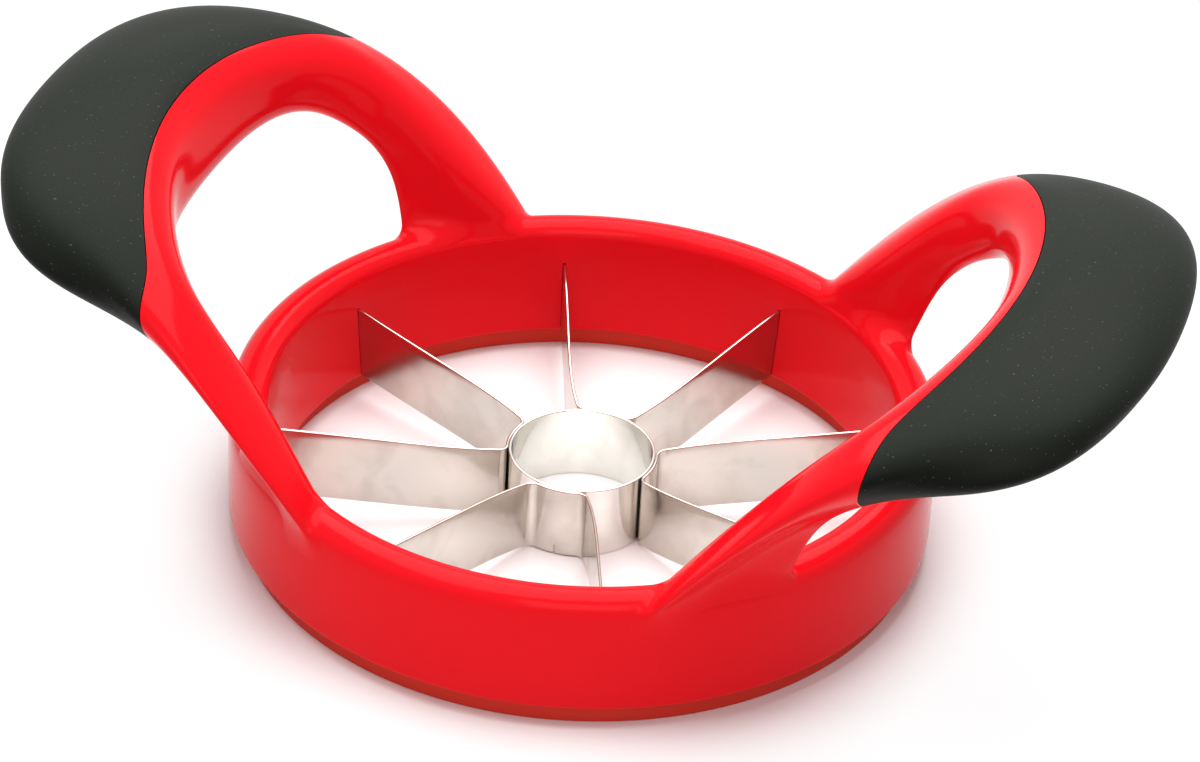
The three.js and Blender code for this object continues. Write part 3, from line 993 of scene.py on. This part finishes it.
@dataclass
class BladeStrip:
    """One steel strip on the +X side: tab, blade, wrap on the corer, blade, tab.

    The sheet's middle line runs in plan, and the sheet's section, a thin upright bar with
    rounded edges, is carried along it. Its edges are level round the corer and rise evenly
    along the blades towards the ring.
    """

    ring: Ring
    corer: Corer
    base: BaseRing
    strips: int = 4
    thickness: float = 0.5
    blade_height: float = 13.0
    end_lift: float = 0.2
    wrap_drop: float = 0.1
    wrap_rise: float = 0.2
    wrap_gap: float = 0.04
    bend_radius: float = 1.8
    tab_length: float = 4.0
    tab_clearance: float = 0.3
    tab_step: float = 0.05
    slit_half: float = 0.16
    slit_height: float = 1.6
    slit_edge_share: float = 0.02
    slit_clear_share: float = 0.1
    bow: float = 0.55
    edge_share: float = 0.45
    wrap_points: int = 40
    bend_points: int = 10
    blade_points: int = 90
    tab_bend_points: int = 8
    tab_points: int = 4
    corner_points: int = 5
    side_points: int = 8

    @property
    def end_top(self) -> float:
        """Height of the blades' upper edge at the ring."""
        return self.ring.lift + self.end_lift + self.blade_height

    def middle_line(self) -> np.ndarray:
        """The sheet's middle line in plan, from one tab's end to the other's.

        Half of it is an arc round the corer, an arc of the bend, the blade with a slight bow,
        an arc into the channel, and the tab. The other half mirrors it. The bow is
        b * sin(pi * sqrt(t)) ** 2, t being the share along the blade: it is fullest near the
        corer and fades at both ends.

        Returns:
            Points, (n, 2).
        """
        half_pitch = math.pi / self.strips / 2
        out = np.array([math.cos(half_pitch), math.sin(half_pitch)])
        aside = np.array([-out[1], out[0]])
        wrap = self.corer.outer_radius + self.wrap_gap + self.thickness / 2
        bend_distance = wrap + self.bend_radius
        wrap_angle = half_pitch - math.asin(self.bend_radius / bend_distance)
        bend_centre = bend_distance * np.array([math.cos(wrap_angle), math.sin(wrap_angle)])
        channel = self.ring.inner_radius + self.ring.inner_wall
        corner = self.thickness / 2 + self.tab_clearance
        tab_centre = channel * out + corner * aside

        slit = self.slit_half / wrap
        slit_edges = (slit * (1 - self.slit_edge_share), slit * (1 + self.slit_edge_share))
        wrap_arc = plan_arc(np.zeros(2), wrap, (0, wrap_angle), self.wrap_points)
        slit_arc = plan_arc(np.zeros(2), wrap, slit_edges, 2)
        first = wrap_arc[wrap_arc[:, 1] < self.slit_half * (1 - self.slit_clear_share)]
        second = wrap_arc[wrap_arc[:, 1] > self.slit_half * (1 + self.slit_clear_share)]
        bend_angles = (wrap_angle + math.pi, half_pitch + QUARTER)
        bend = plan_arc(bend_centre, self.bend_radius, bend_angles, self.bend_points)
        start = out @ bend[-1]
        share = np.linspace(0, 1, self.blade_points)[1:, None]
        blade = out * (start + (channel - start) * share)
        blade = blade + aside * self.bow * np.sin(math.pi * share ** 0.5) ** 2
        tab_angles = (half_pitch - QUARTER, half_pitch)
        tab_bend = plan_arc(tab_centre, corner, tab_angles, self.tab_bend_points)[1:]
        tab = tab_bend[-1] + aside * self.tab_length * np.linspace(0, 1, self.tab_points)[1:, None]
        half = np.concatenate([first, slit_arc, second, bend[1:], blade, tab_bend, tab])
        return np.concatenate([half[:0:-1] * (1, -1), half])

    def edges(self, line: np.ndarray) -> tuple[np.ndarray, np.ndarray]:
        """Heights of the strip's two long edges, read off the distance from the axis.

        Both are level round the corer and run straight from there to the ring's wall. The lower
        one steps up at the channel, where the tab stands over the base ring's collar, and at
        the slit in the wrap's middle.

        Args:
            line: the middle line, (n, 2).

        Returns:
            Heights of the lower and of the upper edge, (n,) each.
        """
        away = np.linalg.norm(line, axis=1)
        wrap_out = self.corer.outer_radius + self.wrap_gap + self.thickness
        wall = self.ring.inner_radius
        step = wall + self.ring.inner_wall - self.tab_clearance
        level_top = self.corer.height - self.wrap_drop
        end_bottom = self.ring.lift + self.end_lift
        tab_bottom = self.ring.lift + self.base.collar + self.tab_clearance
        top = np.interp(away, [wrap_out, wall], [level_top, self.end_top])
        bottom = np.interp(away, [wrap_out, wall, step, step + self.tab_step],
                           [self.wrap_rise, end_bottom, end_bottom, tab_bottom])
        in_slit = (line[:, 0] < wrap_out) & (np.abs(line[:, 1]) < self.slit_half)
        return np.where(in_slit, self.wrap_rise + self.slit_height, bottom), top

    def grid(self) -> np.ndarray:
        """The section carried along the middle line, with a closed pole at each tab's end.

        The section is an upright bar whose four corners are quarter circles of radius e. It is
        traced from its +side over the top, down the -side, and under the bottom back up.
        Between the corners each side's height is low + (high - low) * share, from e over the
        lower edge to e under the upper one.

        Returns:
            The grid of points.
        """
        line = self.middle_line()
        run = np.gradient(line, axis=0)
        run /= np.linalg.norm(run, axis=1, keepdims=True)
        side = np.stack([-run[:, 1], run[:, 0]], axis=1)
        bottom, top = (edge[:, None] for edge in self.edges(line))
        corner = self.thickness * self.edge_share
        half = self.thickness / 2
        angle = np.linspace(0, QUARTER, self.corner_points)
        aside = half - corner + corner * np.cos(angle)
        drop = corner - corner * np.sin(angle)
        across_cap = np.concatenate([aside, -aside[::-1]])
        drop_cap = np.concatenate([drop, drop[::-1]])
        flat = np.linspace(0, 1, self.side_points + 2)[1:-1]
        flat_side = np.full_like(flat, half)
        across = np.concatenate([across_cap, -flat_side, -across_cap, flat_side])
        spread = (top - bottom - 2 * corner) * flat
        height = np.concatenate([top - drop_cap, top - corner - spread, bottom + drop_cap,
                                 bottom + corner + spread], axis=1)
        plan = line[:, None] + side[:, None] * across[None, :, None]
        grid = np.concatenate([plan, height[..., None]], axis=-1)
        poles = [np.broadcast_to(grid[i].mean(axis=0), grid[i].shape)[None] for i in (0, -1)]
        return np.concatenate([poles[0], grid, poles[1]])


# Studio


@dataclass(frozen=True)
class Lamp:
    """A square soft lamp that looks at the slicer."""

    name: str
    place_mm: tuple[float, float, float]
    size_mm: float
    watts: float

    def hang(self) -> None:
        """Put the lamp in its place."""
        data = bpy.data.lights.new(self.name, "AREA")
        data.shape = "SQUARE"
        data.size = self.size_mm * METRES
        data.energy = self.watts
        lamp = bpy.data.objects.new(self.name, data)
        lamp.location = Vector(self.place_mm) * METRES
        lamp.rotation_euler = Vector(self.place_mm).to_track_quat("Z", "Y").to_euler()
        bpy.context.scene.collection.objects.link(lamp)


@dataclass
class Studio:
    """A pale glossy table, soft light from above and the camera at the photograph's angle."""

    focal_mm: float = 122.96
    sensor_mm: float = 36.0
    distance_mm: float = 684.21
    elevation_degrees: float = 33.44
    roll_degrees: float = 3.18
    handle_degrees: float = -16.9
    target_mm: tuple[float, float, float] = (2.34, 8.44, 21.19)
    clip_mm: tuple[float, float] = (50.0, 20000.0)
    table_half_mm: float = 3000.0
    open_reach_mm: float = 18.0
    open_between: tuple[float, float] = (0.55, 0.95)
    open_samples: int = 16
    white_share: float = 0.85
    sky_strength: float = 0.42
    lamps: tuple[Lamp, ...] = (
        Lamp("top_softbox", (-120.0, 250.0, 950.0), 1300.0, 21.0),
        Lamp("front_softbox", (300.0, -900.0, 800.0), 600.0, 3.0),
    )

    def place_camera(self) -> None:
        """Put the camera where the photograph was taken from.

        The camera looks along Y with its height and roll, and the whole is turned about Z by
        the handles' angle in the photograph.
        """
        height = math.radians(self.elevation_degrees)
        roll = math.radians(self.roll_degrees)
        back = Vector((0, -math.cos(height), math.sin(height)))
        right = Vector((1, 0, 0))
        up = back.cross(right)
        tilted_right = math.cos(roll) * right + math.sin(roll) * up
        tilted_up = -math.sin(roll) * right + math.cos(roll) * up
        place = (Vector(self.target_mm) + back * self.distance_mm) * METRES
        axes = Matrix((tilted_right, tilted_up, back)).transposed().to_4x4()
        turn = Matrix.Rotation(math.radians(-self.handle_degrees), 4, "Z")
        data = bpy.data.cameras.new("camera")
        data.sensor_width = self.sensor_mm
        data.lens = self.focal_mm
        data.clip_start = self.clip_mm[0] * METRES
        data.clip_end = self.clip_mm[1] * METRES
        camera = bpy.data.objects.new("camera", data)
        camera.matrix_world = turn @ (Matrix.Translation(place) @ axes)
        bpy.context.scene.collection.objects.link(camera)
        bpy.context.scene.camera = camera

    def lay_table(self) -> None:
        """Lay the pale table under the slicer."""
        half = self.table_half_mm * METRES
        mesh = bpy.data.meshes.new("table")
        mesh.from_pydata([(-half, -half, 0), (half, -half, 0), (half, half, 0), (-half, half, 0)], [],
                         [(0, 1, 2, 3)])
        material, tree, shader, _ = AcrylicSheet().start()
        self.whiten(tree, shader)
        mesh.materials.append(material)
        table = bpy.data.objects.new("table", mesh)
        bpy.context.scene.collection.objects.link(table)

    def seen_directly(self, tree: bpy.types.NodeTree) -> bpy.types.NodeSocket:
        """Tell the rays that show a surface from those that only light others.

        Args:
            tree: the node tree to add to.

        Returns:
            A socket that is 1 for camera, glossy and transmission rays and 0 for the rest.
        """
        path = add_node(tree, "ShaderNodeLightPath")
        mirrored = add_node(tree, "ShaderNodeMath", {"operation": "MAXIMUM"},
                            {0: path.outputs["Is Glossy Ray"], 1: path.outputs["Is Transmission Ray"]})
        seen = add_node(tree, "ShaderNodeMath", {"operation": "MAXIMUM"},
                        {0: path.outputs["Is Camera Ray"], 1: mirrored.outputs[0]})
        return seen.outputs[0]

    def whiten(self, tree: bpy.types.NodeTree, shader: bpy.types.Node) -> None:
        """Let the camera and reflections see the open table as plain white.

        The share of white is how open the table is to its surroundings, so it falls to
        nothing close under the slicer, and the shadow there stays.

        Args:
            tree: the table's node tree.
            shader: its surface shader.
        """
        nearby = add_node(tree, "ShaderNodeAmbientOcclusion",
                          {"Distance": self.open_reach_mm * METRES, "samples": self.open_samples})
        openness = add_node(tree, "ShaderNodeMapRange",
                            {"From Min": self.open_between[0], "From Max": self.open_between[1],
                             "To Max": self.white_share},
                            {"Value": nearby.outputs["AO"]})
        share = add_node(tree, "ShaderNodeMath", {"operation": "MULTIPLY"},
                         {0: self.seen_directly(tree), 1: openness.outputs["Result"]})
        white = add_node(tree, "ShaderNodeEmission")
        mix = add_node(tree, "ShaderNodeMixShader", {},
                       {0: share.outputs[0], 1: shader.outputs[0], 2: white.outputs[0]})
        tree.links.new(mix.outputs[0], tree.nodes["Material Output"].inputs["Surface"])

    def light(self) -> None:
        """Light the scene with an even sky, a large lamp overhead and a weak one in front."""
        world = bpy.data.worlds.new("studio")
        world.use_nodes = True
        tree = world.node_tree
        background = tree.nodes["Background"]
        background.inputs["Color"].default_value = (1, 1, 1, 1)
        strength = add_node(tree, "ShaderNodeMix", {"data_type": "FLOAT", 2: self.sky_strength, 3: 1.0},
                            {0: self.seen_directly(tree)})
        tree.links.new(strength.outputs[0], background.inputs["Strength"])
        bpy.context.scene.world = world
        for lamp in self.lamps:
            lamp.hang()


# Pieces


@dataclass
class Slicer:
    """The whole slicer: its sizes and its pieces."""

    ring: Ring = field(default_factory=Ring)
    seam_groove: float = 0.16
    band_rows: int = 121
    band_columns: int = 129
    grip_rows: int = 181
    grip_columns: int = 81
    wall_columns: int = 9
    body_sharp_degrees: float = 60.0

    def __post_init__(self) -> None:
        """Hang the handles on the ring."""
        self.handle = Handle(self.ring)
        self.blade_turns = (np.arange(self.ring.blades) + 0.5) * FULL / self.ring.blades

    def along(self, low: float, high: float, count: int) -> np.ndarray:
        """Places along the handle, close together at both ends: a cosine's spacing."""
        wave = (1 - np.cos(np.linspace(0, math.pi, count))) / 2
        return low + (high - low) * wave

    def seam_wall(self, skin: np.ndarray) -> np.ndarray:
        """The wall at the seam: in each row a straight line from the skin's last point to its first.

        Args:
            skin: grid of points whose two long edges lie on the seam, (n, m, 3).

        Returns:
            The wall's grid, (n, k, 3).
        """
        wall = np.linspace(0, 1, self.wall_columns)[:, None, None]
        return (skin[:, -1] * (1 - wall) + skin[:, 0] * wall).transpose(1, 0, 2)

    def red_handle(self) -> list[np.ndarray]:
        """The red part of the +X handle: the band beside the grip and two legs.

        Returns:
            Grids of the band, the wall under the grip, and each leg and fillet.
        """
        end = self.handle.seam_end(0.0)
        around = np.linspace(0, 1, self.band_columns)
        band = self.along(-end, end, self.band_rows)
        top, bottom = self.handle.seam_places(band, 0.0)
        places = top[:, None] + (bottom + 1 - top)[:, None] * around
        band_grid = self.handle.surface(np.broadcast_to(band[:, None], places.shape), places)
        legs = Foot(self.handle).grids(top[-1] + around, end)
        mirror = np.array([1.0, -1.0, 1.0])
        return [band_grid, self.seam_wall(band_grid), *legs, *(grid[::-1] * mirror for grid in legs)]

    def grip(self) -> list[np.ndarray]:
        """The soft grip of the +X handle.

        Returns:
            Grids of its skin and of its wall at the seam.
        """
        end = self.handle.seam_end(self.seam_groove)
        share = self.along(-end, end, self.grip_rows)
        top, bottom = self.handle.seam_places(share, self.seam_groove)
        around = np.linspace(0, 1, self.grip_columns)
        places = bottom[:, None] + (top - bottom)[:, None] * around
        skin = self.handle.surface(np.broadcast_to(share[:, None], places.shape), places)
        return [skin, self.seam_wall(skin)]

    def build(self) -> None:
        """Make every piece, dress it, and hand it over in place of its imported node.

        The body is the slotted ring and both handles in one skin. Each handle and each grip is
        made on the +X side and turned half round for the other; the four strips are one grid,
        turned by quarters.
        """
        abs_red = MouldedAbs().build()
        tpe = SoftTpe().build()
        steel = RolledSteel().build()
        half_turn = np.array([-1.0, -1.0, 1.0])

        body = Skin()
        corer = Corer()
        base_ring = BaseRing(self.ring)
        strip = BladeStrip(self.ring, corer, base_ring)
        slotted = self.ring.slotted_grid(strip.end_top, self.blade_turns)
        body.add_grid(slotted, close_rows=True, close_columns=True)
        for turned in (np.ones(3), half_turn):
            for grid in self.red_handle():
                body.add_grid(grid * turned)
        body.piece("body_moulding", abs_red, Slot.RED_PLASTIC, ["body"], self.body_sharp_degrees)
        for name, turned in (("grip_right", np.ones(3)), ("grip_left", half_turn)):
            skin = Skin()
            for grid in self.grip():
                skin.add_grid(grid * turned)
            skin.piece(name + "_sleeve", tpe, Slot.DARK_RUBBER, [name])
        base = Skin().add_grid(base_ring.grid(), close_rows=True, close_columns=True)
        base.piece("base_ring_moulding", ShadedBaseAbs().build(), Slot.RED_PLASTIC, ["base_ring"])
        tube = Skin().add_grid(corer.grid(), close_rows=True, close_columns=True)
        tube.piece("corer_sleeve", DrawnTube().build(), Slot.STEEL, ["corer_tube"])
        strip_grid = strip.grid()
        for index, side in enumerate(("east", "north", "west", "south")):
            turn = Matrix.Rotation(index * QUARTER, 3, "Z")
            bent = Skin().add_grid(strip_grid @ np.array(turn).T, close_columns=True)
            bent.piece(f"bent_strip_{side}", steel, Slot.STEEL, [f"blade_strip_{side}"])


def main() -> None:
    """Build the studio and the slicer."""
    logging.basicConfig(level=logging.INFO)
    studio = Studio()
    studio.place_camera()
    studio.lay_table()
    studio.light()
    Slicer().build()
    bpy.context.scene.view_settings.view_transform = "Standard"


if __name__ == "__main__":
    main()
